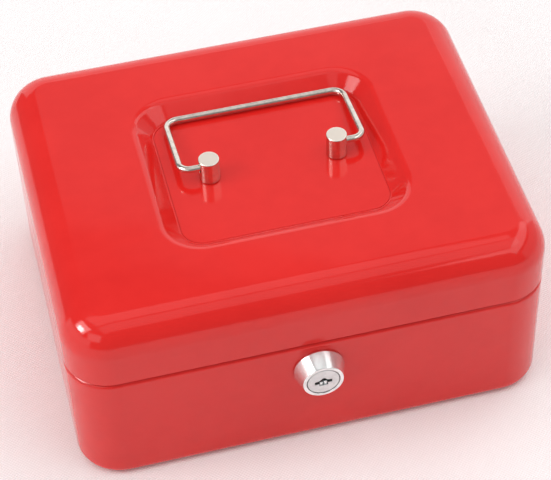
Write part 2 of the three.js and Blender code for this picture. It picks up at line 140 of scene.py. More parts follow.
def facing(direction, place):
    """Faces that look along a direction and lie at a place along it."""
    def test(face):
        there = face.calc_center_median().dot(direction)
        return face.normal.dot(direction) > 0.999 and abs(there - place) < NEAR
    return test


def lying(direction, place):
    """Edges that lie in the plane at a place along a direction."""
    return lambda edge: all(abs(end.co.dot(direction) - place) < NEAR for end in edge.verts)


def running(direction):
    """Edges that run along a direction."""
    def test(edge):
        run = edge.verts[1].co - edge.verts[0].co
        return abs(run.normalized().dot(direction)) > 0.999
    return test


def modify(piece, kind, **settings):
    """Adds a modifier and applies it."""
    activate(piece)
    modifier = piece.modifiers.new(kind.title(), kind)
    for setting, value in settings.items():
        setattr(modifier, setting, value)
    bpy.ops.object.modifier_apply(modifier=modifier.name)


def combine(piece, operation, tools):
    for tool in tools:
        modify(piece, "BOOLEAN", operation=operation, solver="EXACT", object=tool)
        bpy.data.objects.remove(tool)
    return piece


def cut(piece, *tools):
    return combine(piece, "DIFFERENCE", tools)


def unite(piece, *others):
    return combine(piece, "UNION", others)


def soften(piece, width, segments=2, angle=30):
    """Rounds off the sharp edges a little, so that they catch the light."""
    modify(piece, "BEVEL", width=width, segments=segments, limit_method="ANGLE",
           angle_limit=math.radians(angle), use_clamp_overlap=True)


def smooth(piece):
    """Shades smoothly across all but the sharp edges, with flat faces kept flat."""
    activate(piece)
    bpy.ops.object.shade_smooth_by_angle(angle=SMOOTH_ANGLE)
    modify(piece, "WEIGHTED_NORMAL", mode="FACE_AREA", weight=80, keep_sharp=True)


def slab(name, low, high):
    """A block from one corner to the other."""
    release()
    bpy.ops.mesh.primitive_cube_add(size=1, location=(low + high) / 2)
    piece = settle(name)
    with editing(piece):
        bpy.ops.transform.resize(value=high - low, center_override=(low + high) / 2)
    return piece


def rod(name, radius, start, end, sides=SIDES):
    """A round bar from one point to another."""
    release()
    run = end - start
    turn = run.to_track_quat("Z", "Y").to_euler()
    bpy.ops.mesh.primitive_cylinder_add(
        vertices=sides, radius=radius, depth=run.length, location=(start + end) / 2, rotation=turn)
    return settle(name)


def copied(piece, name, shift, turned_at=None):
    """A copy with its own mesh, moved by a shift. It can first be turned halfway round the upright
    axis through a point, which swaps its left and its right."""
    activate(piece)
    bpy.ops.object.duplicate(linked=False)
    if turned_at is not None:
        bpy.ops.transform.rotate(value=math.pi, orient_axis="Z", center_override=turned_at)
    bpy.ops.transform.translate(value=shift)
    return settle(name)


def round_edges(piece, kind, test, radius, steps=EDGE_STEPS):
    with editing(piece):
        pick(piece, kind, test)
        bpy.ops.mesh.bevel(offset=radius, segments=steps, affect="EDGES", clamp_overlap=True)


def rounded_plate(name, low, high, radius, steps=CORNER_STEPS):
    """A flat plate with rounded corners, at the low corner's height."""
    release()
    middle = Vector(((low.x + high.x) / 2, (low.y + high.y) / 2, low.z))
    bpy.ops.mesh.primitive_plane_add(size=1, location=middle)
    piece = settle(name)
    with editing(piece):
        bpy.ops.transform.resize(
            value=(high.x - low.x, high.y - low.y, 1), center_override=middle)
        bpy.ops.mesh.bevel(offset=radius, segments=steps, affect="VERTICES")
    return piece


def rounded_block(name, low, high, radius, steps=CORNER_STEPS):
    """An upright block with rounded corners."""
    piece = rounded_plate(name, low, high, radius, steps)
    with editing(piece):
        bpy.ops.mesh.extrude_region_move(
            TRANSFORM_OT_translate={"value": (0, 0, high.z - low.z)})
        bpy.ops.mesh.select_all(action="SELECT")
        bpy.ops.mesh.normals_make_consistent(inside=False)
    return piece


def shape_cap(piece, direction, place, steps):
    """Insets and raises a flat end again and again, so that its edge follows a profile."""
    with editing(piece):
        pick(piece, "FACE", facing(direction, place))
        for run, rise in steps:
            bpy.ops.mesh.inset(thickness=run, depth=rise, use_even_offset=True)


def remove_cap(piece, direction, place):
    with editing(piece):
        pick(piece, "FACE", facing(direction, place))
        bpy.ops.mesh.delete(type="ONLY_FACE")


def changes(values):
    """The steps from each value to the next."""
    return [after - before for before, after in zip(values, values[1:])]


def turns(angle, steps):
    """Angles from 0 to the given one."""
    return [angle * step / steps for step in range(steps + 1)]


def quarter_round(run, rise, steps=EDGE_STEPS):
    """Steps of an edge that starts upright and ends flat."""
    angles = turns(math.pi / 2, steps)
    runs = [run * (1 - math.cos(angle)) for angle in angles]
    rises = [rise * math.sin(angle) for angle in angles]
    return list(zip(changes(runs), changes(rises)))


def arc(middle, radius, start, end, steps):
    """Points on an arc of a turned profile: (radius, along) pairs, angles in degrees."""
    angles = [math.radians(start + (end - start) * step / steps) for step in range(steps + 1)]
    return [(middle[0] + radius * math.cos(angle), middle[1] + radius * math.sin(angle))
            for angle in angles]


def turned(name, profile, origin, axis, sides=SIDES):
    """A turned piece: a point is extruded along the profile, and the line is spun round the axis.
    The profile holds (radius, place along the axis) pairs in millimetres."""
    across = RIGHT if abs(axis.z) > 0.5 else UP
    points = [origin + (across * radius + axis * along) * MM for radius, along in profile]
    release()
    bpy.ops.mesh.primitive_plane_add(size=MM, location=points[0])
    piece = settle(name)
    with editing(piece):
        bpy.ops.mesh.merge(type="CENTER")
        for move in changes(points):
            bpy.ops.mesh.extrude_region_move(TRANSFORM_OT_translate={"value": move})
        bpy.ops.mesh.select_all(action="SELECT")
        bpy.ops.mesh.spin(steps=sides, angle=2 * math.pi, center=origin, axis=axis)
        bpy.ops.mesh.select_all(action="SELECT")
        bpy.ops.mesh.remove_doubles(threshold=NEAR / 10)
        bpy.ops.mesh.normals_make_consistent(inside=False)
    return piece


# ---------------------------------------------------------------- materials

class Value:
    """A number that changes over a surface. Arithmetic on it adds Math nodes."""

    def __init__(self, finish, socket):
        self.finish = finish
        self.socket = socket

    def _math(self, operation, *values):
        return self.finish.node("Math", {"operation": operation}, dict(enumerate(values)))

    def __add__(self, other):
        return self._math("ADD", self, other)

    __radd__ = __add__

    def __mul__(self, other):
        return self._math("MULTIPLY", self, other)

    __rmul__ = __mul__

    def __gt__(self, other):
        return self._math("GREATER_THAN", self, other)

    def sine(self):
        return self._math("SINE", self)

    def between(self, low, high):
        """0 below low, 1 above high, and a smooth step from one to the other."""
        return self.finish.node("MapRange", {"interpolation_type": "SMOOTHSTEP"},
                                {"Value": self, "From Min": low, "From Max": high})


class Finish:
    """One material: its shader, and the nodes that vary its colour, gloss and relief."""

    def __init__(self, name, **shader_settings):
        self.material = bpy.data.materials.new(name)
        self.material.use_nodes = True
        self.tree = self.material.node_tree
        self.shader = self.tree.nodes["Principled BSDF"]
        for socket, value in shader_settings.items():
            self.shader.inputs[socket.replace("_", " ").title()].default_value = value
        self.place = self.node("TexCoord", out="Object")

    def feed(self, socket, value):
        if isinstance(value, Value):
            self.tree.links.new(value.socket, socket)
        else:
            socket.default_value = value

    def node(self, kind, settings=None, sockets=None, out=0):
        """Adds a node with its settings and the values or links of its sockets."""
        added = self.tree.nodes.new("ShaderNode" + kind)
        for setting, value in (settings or {}).items():
            setattr(added, setting, value)
        for socket, value in (sockets or {}).items():
            self.feed(added.inputs[socket], value)
        return Value(self, added.outputs[out])

    def noise(self, size, detail=2.0, stretch=(1, 1, 1)):
        """Cloudy variation about 0.5 whose lumps are about the given size in metres."""
        place = self.node("Mapping", {}, {"Vector": self.place, "Scale": stretch})
        return self.node("TexNoise", {}, {"Vector": place, "Scale": 1 / size, "Detail": detail})

    def along(self, axis):
        return self.node("SeparateXYZ", {}, {0: self.place}, out="XYZ".index(axis))

    def mix(self, factor, low, high):
        """A colour between two colours. The Mix node's colour sockets are 6 and 7, and 2 comes out."""
        return self.node("Mix", {"data_type": "RGBA"}, {0: factor, 6: low, 7: high}, out=2)

    def relief(self, *layers):
        """Each layer is a height from 0 to 1 and the depth in metres that it stands for."""
        normal = None
        for height, depth in layers:
            sockets = {"Height": height, "Distance": depth, "Strength": 1.0}
            if normal:
                sockets["Normal"] = normal
            normal = self.node("Bump", {}, sockets)
        self.feed(self.shader.inputs["Normal"], normal)

    def set(self, **values):
        for socket, value in values.items():
            self.feed(self.shader.inputs[socket.replace("_", " ").title()], value)


def rgb(red, green, blue):
    return (red, green, blue, 1.0)


def red_enamel():
    """Smooth gloss stoving enamel on pressed sheet: a faint orange peel and slow waves in the steel."""
    paint = Finish("red_enamel")
    cloud = paint.noise(45 * MM, detail=3)
    fine = paint.noise(6 * MM, detail=4)
    tone = cloud * 0.7 + fine * 0.3
    deep, bright = rgb(0.69, 0.0145, 0.012), rgb(0.74, 0.0185, 0.015)
    paint.set(
        base_color=paint.mix(tone.between(0.3, 0.7), deep, bright),
        roughness=0.085 + 0.05 * paint.noise(18 * MM, detail=5))
    orange_peel = paint.noise(1.8 * MM, detail=2)
    waves = paint.noise(38 * MM, detail=1)
    paint.relief((orange_peel, 0.008 * MM), (waves, 0.25 * MM))
    return paint.material


MATT_NICKEL = rgb(0.95, 0.86, 0.77)
EVEN = (1, 1, 1)                # grain that runs no way in particular
TURNED_GRAIN = (1, 0.05, 1)     # drawn out along the lock's axis
ROLLED_GRAIN = (1, 1, 6)


def bright_metal(name, low, high, roughness, grain=EVEN, matt_above=None):
    """Plated metal: a tint that drifts, fine wear marks and a faint unevenness. The grain stretches
    the marks along an axis, and faces above a height can be left matt from the lathe."""
    metal = Finish(name, metallic=1.0)
    cloud = metal.noise(3 * MM, detail=4, stretch=grain)
    rub = metal.noise(0.6 * MM, detail=2, stretch=grain)
    rough = roughness * 0.8 + roughness * 0.6 * rub
    colour = metal.mix(cloud.between(0.35, 0.65), low, high)
    if matt_above:
        matt = metal.along("Z") > matt_above
        rough = rough + 0.3 * matt
        colour = metal.mix(matt, colour, MATT_NICKEL)
    metal.set(base_color=colour, roughness=rough)
    metal.relief((rub, 0.0015 * MM), (cloud, 0.006 * MM))
    return metal.material


def moulded_plastic():
    """Black moulded plastic with a fine matt grain."""
    plastic = Finish("tray_plastic")
    grain = plastic.noise(0.7 * MM, detail=3)
    dark, light = rgb(0.016, 0.016, 0.018), rgb(0.024, 0.024, 0.027)
    plastic.set(
        base_color=plastic.mix(plastic.noise(20 * MM), dark, light),
        roughness=0.42 + 0.2 * grain)
    plastic.relief((grain, 0.03 * MM))
    return plastic.material


POST_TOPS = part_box("handle_post_left")[1].z - 0.1 * MM      # just under the posts' turned tops

MATERIALS = {
    "red_enamel": red_enamel(),
    "nickel": bright_metal(
        "nickel", rgb(0.66, 0.60, 0.54), rgb(0.78, 0.72, 0.65), 0.18, matt_above=POST_TOPS),
    "lock_chrome": bright_metal(
        "lock_chrome", rgb(0.82, 0.84, 0.84), rgb(0.94, 0.95, 0.95), 0.22, TURNED_GRAIN),
    "zinc_steel": bright_metal(
        "zinc_steel", rgb(0.50, 0.51, 0.53), rgb(0.62, 0.63, 0.65), 0.36, ROLLED_GRAIN),
    "tray_plastic": moulded_plastic(),
}
SATIN_NICKEL = bright_metal("satin_nickel", rgb(0.66, 0.68, 0.68), rgb(0.75, 0.77, 0.77), 0.3)


def fit(piece, body, slot, *nodes, finish=None):
    """Gives a finished piece its material and its body, and hides the CAD nodes that it stands for."""
    piece.data.materials.clear()
    piece.data.materials.append(finish or MATERIALS[slot])
    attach(piece, body)
    if nodes:
        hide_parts(*nodes)


def middle_of(node):
    low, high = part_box(node)
    return (low + high) / 2


def fit_pair(piece, body, slot, node, swap=False):
    """Fits a left piece, and its copy where the CAD has the right one. The copy can swap its left and
    right. The names of the piece and of the node end in _left."""
    other = node.replace("_left", "_right")
    start, end = middle_of(node), middle_of(other)
    twin = copied(piece, piece.name.replace("_left", "_right"), end - start, start if swap else None)
    fit(piece, body, slot, node)
    fit(twin, body, slot, other)


# ---------------------------------------------------------------- the pressed shells

BASE_LOW, BASE_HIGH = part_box("base_shell")
LID_LOW, LID_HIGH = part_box("lid_shell")
RECESS_FLOOR_Z = LID_HIGH.z - RECESS_DEPTH
LOCK = middle_of("lock_housing")
LOCK.y = BASE_LOW.y             # where the lock's axis meets the outer face of the front wall
RIVET_PLACES = range(1, 5)


def rivet_holes(owner):
    """Cutters for the holes of the hinge rivets in the base's or the lid's back wall."""
    holes = []
    for place in RIVET_PLACES:
        middle = middle_of(f"hinge_{owner}_rivet_{place}")
        start = Vector((middle.x, BASE_HIGH.y - 4 * MM, middle.z))
        holes.append(rod("hole", RIVET_HOLE, start, start + BACK * 8 * MM, sides=24))
    return holes


def base_pressing():
    """The base: rounded foot, upright walls, a quarter-round shoulder and the neck inside the lid."""
    wall_low = Vector((BASE_LOW.x, BASE_LOW.y, FOOT_ROUND))
    wall_high = Vector((BASE_HIGH.x, BASE_HIGH.y, SHOULDER_TOP - SHOULDER))
    piece = rounded_block("base_pressing", wall_low, wall_high, BOX_CORNER)
    shape_cap(piece, DOWN, -wall_low.z, quarter_round(FOOT_ROUND, FOOT_ROUND))
    shape_cap(piece, UP, wall_high.z, quarter_round(SHOULDER, SHOULDER, steps=8))
    with editing(piece):
        pick(piece, "FACE", facing(UP, SHOULDER_TOP))
        bpy.ops.mesh.extrude_region_move(
            TRANSFORM_OT_translate={"value": UP * (BASE_HIGH.z - SHOULDER_TOP)})
    remove_cap(piece, UP, BASE_HIGH.z)
    modify(piece, "SOLIDIFY", thickness=SHEET, offset=-1, use_even_offset=True)
    round_edges(piece, "EDGE", lying(UP, BASE_HIGH.z), NECK_EDGE, steps=3)
    lock_hole = rod("hole", LOCK_HOLE, LOCK + FRONT * 2 * MM, LOCK + BACK * 4 * MM)
    cut(piece, lock_hole, *rivet_holes("base"))
    smooth(piece)
    fit(piece, "base", "red_enamel", "base_shell")


def recess_profile():
    """Steps from the recess's rim, over a rounded lip and down a sloping wall to the floor."""
    angles = turns(RECESS_SLOPE, EDGE_STEPS)
    lip = list(zip(changes([RECESS_RIM * math.sin(angle) for angle in angles]),
                   changes([-RECESS_RIM * (1 - math.cos(angle)) for angle in angles])))
    wall_drop = RECESS_DEPTH - RECESS_RIM * (1 - math.cos(RECESS_SLOPE))
    return lip + [(wall_drop / math.tan(RECESS_SLOPE), -wall_drop)]


def lid_pressing():
    """The lid: skirt, broad rounded top edge, flat top and the recess that the handle lies in."""
    skirt_high = Vector((LID_HIGH.x, LID_HIGH.y, LID_HIGH.z - LID_EDGE_DROP))
    piece = rounded_block("lid_pressing", LID_LOW, skirt_high, BOX_CORNER)
    shape_cap(piece, UP, skirt_high.z, quarter_round(LID_EDGE_RUN, LID_EDGE_DROP))
    remove_cap(piece, UP, LID_HIGH.z)
    remove_cap(piece, DOWN, -LID_LOW.z)
    profile = recess_profile()
    run = sum(inset for inset, _ in profile)
    half = Vector((RECESS_FLOOR.x + run, RECESS_FLOOR.y + run, 0))
    middle = Vector((RECESS_MIDDLE_X, 0, LID_HIGH.z))
    recess = rounded_plate("recess", middle - half, middle + half, RECESS_FLOOR_ROUND + run)
    shape_cap(recess, UP, LID_HIGH.z, profile)
    activate(recess)
    piece.select_set(True)
    bpy.context.view_layer.objects.active = piece
    bpy.ops.object.join()
    with editing(piece):
        pick(piece, "EDGE", lambda edge: edge.is_boundary and lying(UP, LID_HIGH.z)(edge))
        bpy.ops.mesh.bridge_edge_loops()
        bpy.ops.mesh.select_all(action="SELECT")
        bpy.ops.mesh.normals_make_consistent(inside=False)
    round_edges(piece, "EDGE", lying(UP, RECESS_FLOOR_Z), RECESS_CREASE, steps=3)
    modify(piece, "SOLIDIFY", thickness=SHEET, offset=-1, use_even_offset=True)
    round_edges(piece, "EDGE", lying(UP, LID_LOW.z), SKIRT_EDGE, steps=3)
    shape_cap(piece, UP, RECESS_FLOOR_Z, [(inset * MM, rise * MM) for inset, rise in DIE_LINE])
    holes = []
    for side in ("left", "right"):
        middle = middle_of(f"post_screw_{side}")
        middle.z = RECESS_FLOOR_Z
        holes.append(
            rod("hole", SCREW_HOLE, middle + DOWN * 3 * MM, middle + UP * 2 * MM, sides=32))
    cut(piece, *holes, *rivet_holes("lid"))
    smooth(piece)
    fit(piece, "lid", "red_enamel", "lid_shell")


# ---------------------------------------------------------------- handle

POST_RADIUS = 4.4           # the posts and their fixings are in millimetres
POST_HEIGHT = 11
POST_EDGE = 0.45
POST_FOOT_EDGE = 0.2
POST_HOLE_DEPTH = 6.6
POST_SCREW_DEPTH = 4.2
WASHER_RADIUS = 4.6
SCREW_HEAD_RADIUS = 3.7
SCREW_HEAD = 2.4
SCREW_RADIUS = 2
BAIL_WIRE = 1.5 * MM
BAIL_HOLE = 1.95 * MM
BAIL_HALF_WIDTH = 39.2 * MM
BAIL_REACH = 35.8 * MM
BAIL_BEND = 4.6 * MM        # where a leg turns in to its post
BAIL_GRIP_BEND = 5.4 * MM   # where a leg turns into the grip
BAIL_TIP = 26.1 * MM        # from the middle to the wire's end inside a post
BAIL_DROOP = math.radians(7.2)


def pivot():
    return Vector(next(j["pos_m"] for j in frame["joints"] if j["name"] == "handle_swing"))


def bail():
    """Round wire, pulled straight and bent in turn from inside one post to inside the other."""
    middle = pivot()
    side, reach = BAIL_HALF_WIDTH - BAIL_BEND, BAIL_REACH - BAIL_GRIP_BEND
    grip = BAIL_HALF_WIDTH - BAIL_GRIP_BEND
    bend_middles = [(-side, BAIL_BEND), (-grip, reach), (grip, reach), (side, BAIL_BEND)]
    straights = [
        LEFT * (side - BAIL_TIP), BACK * (reach - BAIL_BEND), RIGHT * 2 * grip,
        FRONT * (reach - BAIL_BEND), LEFT * (side - BAIL_TIP),
    ]
    release()
    bpy.ops.mesh.primitive_circle_add(
        vertices=WIRE_SIDES, radius=BAIL_WIRE, fill_type="NGON",
        location=middle + LEFT * BAIL_TIP, rotation=(0, math.pi / 2, 0))
    piece = settle("bail_wire")
    with editing(piece):
        for place, straight in enumerate(straights):
            bpy.ops.mesh.extrude_region_move(TRANSFORM_OT_translate={"value": straight})
            if place < len(bend_middles):
                x, y = bend_middles[place]
                bpy.ops.mesh.spin(steps=12, angle=math.pi / 2,
                                  center=middle + Vector((x, y, 0)), axis=UP)
        bpy.ops.mesh.select_all(action="SELECT")
        bpy.ops.mesh.remove_doubles(threshold=NEAR / 10)
        bpy.ops.mesh.normals_make_consistent(inside=False)
        bpy.ops.transform.rotate(value=BAIL_DROOP, orient_axis="X", center_override=middle)
    soften(piece, 0.25 * MM, angle=60)
    smooth(piece)
    fit(piece, "handle", "nickel", "handle_bail")


def posts():
    """Turned posts with a broken top edge and a blind cross hole that the wire turns in."""
    foot = middle_of("handle_post_left")
    foot.z = RECESS_FLOOR_Z
    profile = [(0, GAP), (POST_RADIUS - POST_FOOT_EDGE, GAP), (POST_RADIUS, GAP + POST_FOOT_EDGE)]
    profile += arc((POST_RADIUS - POST_EDGE, POST_HEIGHT - POST_EDGE), POST_EDGE, 0, 90, 5)
    profile += [(0, POST_HEIGHT)]
    piece = turned("post_left", profile, foot, UP)
    hole_middle = Vector((foot.x, foot.y, pivot().z))
    outer = hole_middle + LEFT * (POST_RADIUS + 1) * MM
    inner = hole_middle + RIGHT * (POST_HOLE_DEPTH - POST_RADIUS) * MM
    cut(piece, rod("hole", BAIL_HOLE, inner, outer, sides=48),
        rod("hole", SCREW_HOLE, foot + DOWN * MM, foot + UP * POST_SCREW_DEPTH * MM, sides=32))
    soften(piece, 0.12 * MM, angle=40)
    smooth(piece)
    fit_pair(piece, "lid", "nickel", "handle_post_left", swap=True)


def cross_recess(piece, face, axis, arm, depth):
    """Cuts a cross into a screw head. The face is the middle of the head's end, and the axis goes in."""
    half_slot = 0.35 * MM
    for one, other in ((arm, half_slot), (half_slot, arm)):
        across = Vector((one, other, 0)) if axis.z else Vector((one, 0, other))
        corners = [face - axis * MM - across, face - axis * MM + across,
                   face + axis * depth - across, face + axis * depth + across]
        low = Vector([min(corner[k] for corner in corners) for k in range(3)])
        high = Vector([max(corner[k] for corner in corners) for k in range(3)])
        cut(piece, slab("cross", low, high))


def threads(radius, start, end, pitch, depth):
    """Ridges in a turned profile that stand for a screw thread."""
    ridges = []
    for turn in range(int((end - start) / pitch)):
        place = start + turn * pitch
        ridges += [(radius, place), (radius - depth, place + pitch / 2)]
    return ridges


def pan_screw(name, seat, axis, head_radius, head, shank_radius, shank):
    """A pan head screw with a cross recess. It seats at a point, and the shank runs along the axis."""
    rim = head * 0.3
    profile = [(head_radius * math.sin(angle), -rim - (head - rim) * math.cos(angle))
               for angle in turns(math.pi / 2, 8)]
    profile += [(head_radius, 0), (shank_radius, 0)]
    profile += threads(shank_radius, 0.3, shank - 0.3, pitch=0.7, depth=0.3)
    profile += [(shank_radius - 0.1, shank - 0.3), (shank_radius - 0.4, shank), (0, shank)]
    piece = turned(name, profile, seat, axis, sides=40)
    cross_recess(piece, seat - axis * head * MM, axis, head_radius * 0.55 * MM, head * 0.55 * MM)
    smooth(piece)
    return piece


def handle_fixings():
    """The screws that hold the posts from below, and their washers."""
    low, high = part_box("post_washer_left")
    under = middle_of("post_washer_left")
    under.z = low.z
    thickness = (high.z - low.z) / MM
    bore = SCREW_HOLE / MM
    washer = turned("washer_left", [(bore, 0), (WASHER_RADIUS, 0), (WASHER_RADIUS, thickness),
                                    (bore, thickness), (bore, 0)], under, UP)
    soften(washer, 0.15 * MM)
    smooth(washer)
    fit_pair(washer, "lid", "zinc_steel", "post_washer_left")
    low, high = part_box("post_screw_left")
    seat = Vector((under.x, under.y, low.z + SCREW_HEAD * MM))
    screw = pan_screw("screw_left", seat, UP, SCREW_HEAD_RADIUS, SCREW_HEAD, SCREW_RADIUS,
                      shank=(high.z - seat.z) / MM)
    fit_pair(screw, "lid", "zinc_steel", "post_screw_left")


# ---------------------------------------------------------------- lock

LOCK_PROUD = 8                  # all in millimetres, along the lock's axis or out from it
LOCK_FACE = 8.5
LOCK_FOOT = 10.65
PLUG_RADIUS = 6.7
BARREL_RADIUS = 9
BARREL_END = 14
SHOULDER_AT = 12
NECK_RADIUS = 4.3
TAIL_HALF = 2.5
CAM_FRONT = 14.6
CAM_THICKNESS = 2
CAM_DISC = 6.4
CAM_REACH = 18.8
CAM_HALF_WIDTH = 3
CAM_TIP_FROM = 14.2
CAM_TIP_TOP = 7.9
CAM_CORNER = 1.2
BOLT_HOLE = 1.55
BOLT_HOLE_DEPTH = 6.3
WELL_HALF = 1.8                 # the well under the key slot, where the wafers stand
WELL_BOTTOM = -2.3
WELL_TOP = 0.6
WELL_DEPTH = 3
NUT_RADIUS = 12.6


def bezel():
    """The lock's body: a polished cone in front of the wall and a threaded barrel behind it."""
    bore, neck_bore = PLUG_RADIUS + GAP, NECK_RADIUS + GAP
    profile = [(bore, SHOULDER_AT), (bore, -LOCK_PROUD + 0.15), (bore + 0.15, -LOCK_PROUD)]
    profile += arc((LOCK_FACE - 0.3, -LOCK_PROUD + 0.3), 0.3, -90, -8, 5)
    profile += arc((LOCK_FOOT - 0.25, -0.9), 0.25, -8, 60, 5)
    profile += [(LOCK_FOOT - 0.12, -GAP), (BARREL_RADIUS, -GAP)]
    profile += threads(BARREL_RADIUS, 0.5, BARREL_END - 0.5, pitch=0.9, depth=0.35)
    profile += [(BARREL_RADIUS - 0.1, BARREL_END - 0.3), (BARREL_RADIUS - 0.4, BARREL_END),
                (neck_bore, BARREL_END), (neck_bore, SHOULDER_AT), (bore, SHOULDER_AT)]
    piece = turned("lock_bezel", profile, LOCK, BACK, sides=96)
    smooth(piece)
    fit(piece, "base", "lock_chrome", "lock_housing")


def key_slot():
    """A cutter for the arched key slot: a short upright edge is pulled across and then in. All its
    sizes are in millimetres."""
    half_width, half_height, arch, arch_width = 3.6, 0.85, 1.6, 1.3
    tilt, drop, depth = 0.05, 0.15, 9
    steps = 24
    widths = [half_width * (2 * step / steps - 1) for step in range(steps + 1)]
    middles = [Vector((x, 0, tilt * x - drop + arch * math.exp(-(x / arch_width) ** 2)))
               for x in widths]
    release()
    bpy.ops.mesh.primitive_plane_add(size=MM, location=LOCK + FRONT * (LOCK_PROUD + 1) * MM)
    piece = settle("key_slot")
    with editing(piece):
        bpy.ops.mesh.merge(type="CENTER")
        bpy.ops.transform.translate(value=(middles[0] + DOWN * half_height) * MM)
        bpy.ops.mesh.extrude_region_move(
            TRANSFORM_OT_translate={"value": UP * 2 * half_height * MM})
        bpy.ops.mesh.select_all(action="SELECT")
        for move in changes(middles):
            bpy.ops.mesh.extrude_region_move(TRANSFORM_OT_translate={"value": move * MM})
        bpy.ops.mesh.select_all(action="SELECT")
        bpy.ops.mesh.extrude_region_move(TRANSFORM_OT_translate={"value": BACK * depth * MM})
        bpy.ops.mesh.select_all(action="SELECT")
        bpy.ops.mesh.normals_make_consistent(inside=False)
    return piece


def lock_block(name, low, high):
    """A block whose corners are in millimetres from the lock's axis at the front wall."""
    return slab(name, LOCK + Vector(low) * MM, LOCK + Vector(high) * MM)


def plug():
    """The part of the lock that turns: a round face with an arched key slot, and a square tail."""
    front, shoulder, end = -LOCK_PROUD + 0.1, SHOULDER_AT - GAP, BARREL_END + GAP
    profile = [(0, front), (PLUG_RADIUS - 0.25, front), (PLUG_RADIUS - 0.05, front + 0.08),
               (PLUG_RADIUS, front + 0.25), (PLUG_RADIUS, shoulder),
               (NECK_RADIUS, shoulder), (NECK_RADIUS, end), (0, end)]
    piece = turned("lock_plug_face", profile, LOCK, BACK, sides=96)
    tail = lock_block("tail", (-TAIL_HALF, BARREL_END, -TAIL_HALF),
                      (TAIL_HALF, CAM_FRONT + CAM_THICKNESS - GAP, TAIL_HALF))
    unite(piece, tail)
    bolt_hole = rod("hole", BOLT_HOLE * MM, LOCK + BACK * (CAM_FRONT - BOLT_HOLE_DEPTH) * MM,
                    LOCK + BACK * (CAM_FRONT + 4) * MM, sides=32)
    well = lock_block("well", (-WELL_HALF, -LOCK_PROUD - 2, WELL_BOTTOM),
                      (WELL_HALF, -LOCK_PROUD + WELL_DEPTH, WELL_TOP))
    cut(piece, key_slot(), well, bolt_hole)
    soften(piece, 0.1 * MM, angle=50)
    smooth(piece)
    fit(piece, "lock", "lock_chrome", "lock_plug", finish=SATIN_NICKEL)


def wafers():
    """Two rounded wafers that stand side by side in the well under the key slot's arch."""
    half_width, bottom = 0.72, WELL_BOTTOM + 0.05
    start, end = -LOCK_PROUD + 0.4, -LOCK_PROUD + WELL_DEPTH - 0.1
    for place, (x, top) in enumerate(((-0.9, -0.55), (0.9, -0.2))):
        wafer = lock_block(f"lock_wafer_{place + 1}", (x - half_width, start, bottom),
                           (x + half_width, end, top))
        soften(wafer, 0.5 * MM, segments=4)
        smooth(wafer)
        fit(wafer, "lock", "lock_chrome")


def hex_nut():
    """The nut that clamps the lock to the front wall from inside."""
    low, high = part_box("lock_nut")
    start, end = (Vector((LOCK.x, y, LOCK.z)) for y in (low.y, high.y))
    piece = rod("lock_hex_nut", NUT_RADIUS * MM, start, end, sides=6)
    cut(piece, rod("hole", LOCK_HOLE, start + FRONT * MM, end + BACK * MM))
    soften(piece, 0.4 * MM, segments=3)
    smooth(piece)
    fit(piece, "base", "zinc_steel", "lock_nut")


def cam():
    """The locking cam: a disc, an arm that lies to the left when unlocked, and a hooked tip."""
    front, back = CAM_FRONT, CAM_FRONT + CAM_THICKNESS
    hole_half = TAIL_HALF + GAP
    piece = rod("lock_cam_arm", CAM_DISC * MM, LOCK + BACK * front * MM, LOCK + BACK * back * MM)
    arm = lock_block("arm", (-CAM_REACH, front, -CAM_HALF_WIDTH), (0, back, CAM_HALF_WIDTH))
    tip = lock_block("tip", (-CAM_REACH, front, -CAM_HALF_WIDTH), (-CAM_TIP_FROM, back, CAM_TIP_TOP))
    unite(piece, arm, tip)
    cut(piece, lock_block("hole", (-hole_half, front - 1, -hole_half), (hole_half, back + 1, hole_half)))
    tip_side = LOCK.x - (CAM_TIP_FROM - 0.2) * MM
    round_edges(piece, "EDGE", lambda edge: running(BACK)(edge) and edge.verts[0].co.x < tip_side,
                CAM_CORNER * MM, steps=5)
    soften(piece, 0.2 * MM)
    smooth(piece)
    fit(piece, "lock", "zinc_steel", "lock_cam")


def cam_bolt():
    """The screw that holds the cam on the plug's tail."""
    seat = LOCK + BACK * (CAM_FRONT + CAM_THICKNESS + GAP) * MM
    bolt = pan_screw("lock_cam_bolt", seat, FRONT, head_radius=4.2, head=1.8,
                     shank_radius=1.25, shank=8.3)
    fit(bolt, "lock", "zinc_steel", "lock_cam_screw")


def strike():
    """The bent plate inside the lid's front that the cam's tip closes over."""
    sheet = 1.2
    front = BASE_LOW.y / MM + 1.3
    leg = BASE_LOW.y / MM + CAM_FRONT + 0.4
    flange = ((0, front, 67.4), (24, front + sheet, 73))
    shelf = ((4, front, 67.4), (20, leg + sheet, 68.6))
    upright = ((8.5, leg, 54.6), (15.5, leg + sheet, 68.6))
    hook = ((3.9, leg, 54.6), (15.5, leg + sheet, 57.6))
    piece = unite(*[slab("strike_plate", Vector(low) * MM, Vector(high) * MM)
                    for low, high in (flange, shelf, upright, hook)])
    soften(piece, 0.35 * MM, segments=3)
    smooth(piece)
    fit(piece, "lid", "zinc_steel", "lid_strike")


# ---------------------------------------------------------------- hinges

KNUCKLE_RADIUS = 2.2        # all in millimetres
KNUCKLE_BORE = 1.3
PIN_RADIUS = 1.0
LEAF_PLATE = 1.0
LEAF_HALF = 12
LEAF_REACH = 13.8
LEAF_CORNER = 3
LID_KNUCKLE = 4.7
ROOT_HEIGHT = 0.8           # how far a knuckle's root runs on into its leaf
ROOT_INSET = 0.03           # keeps a knuckle's root off the leaf's own faces
RIVET_FROM_PIN = 10.3
RIVET_X = 7


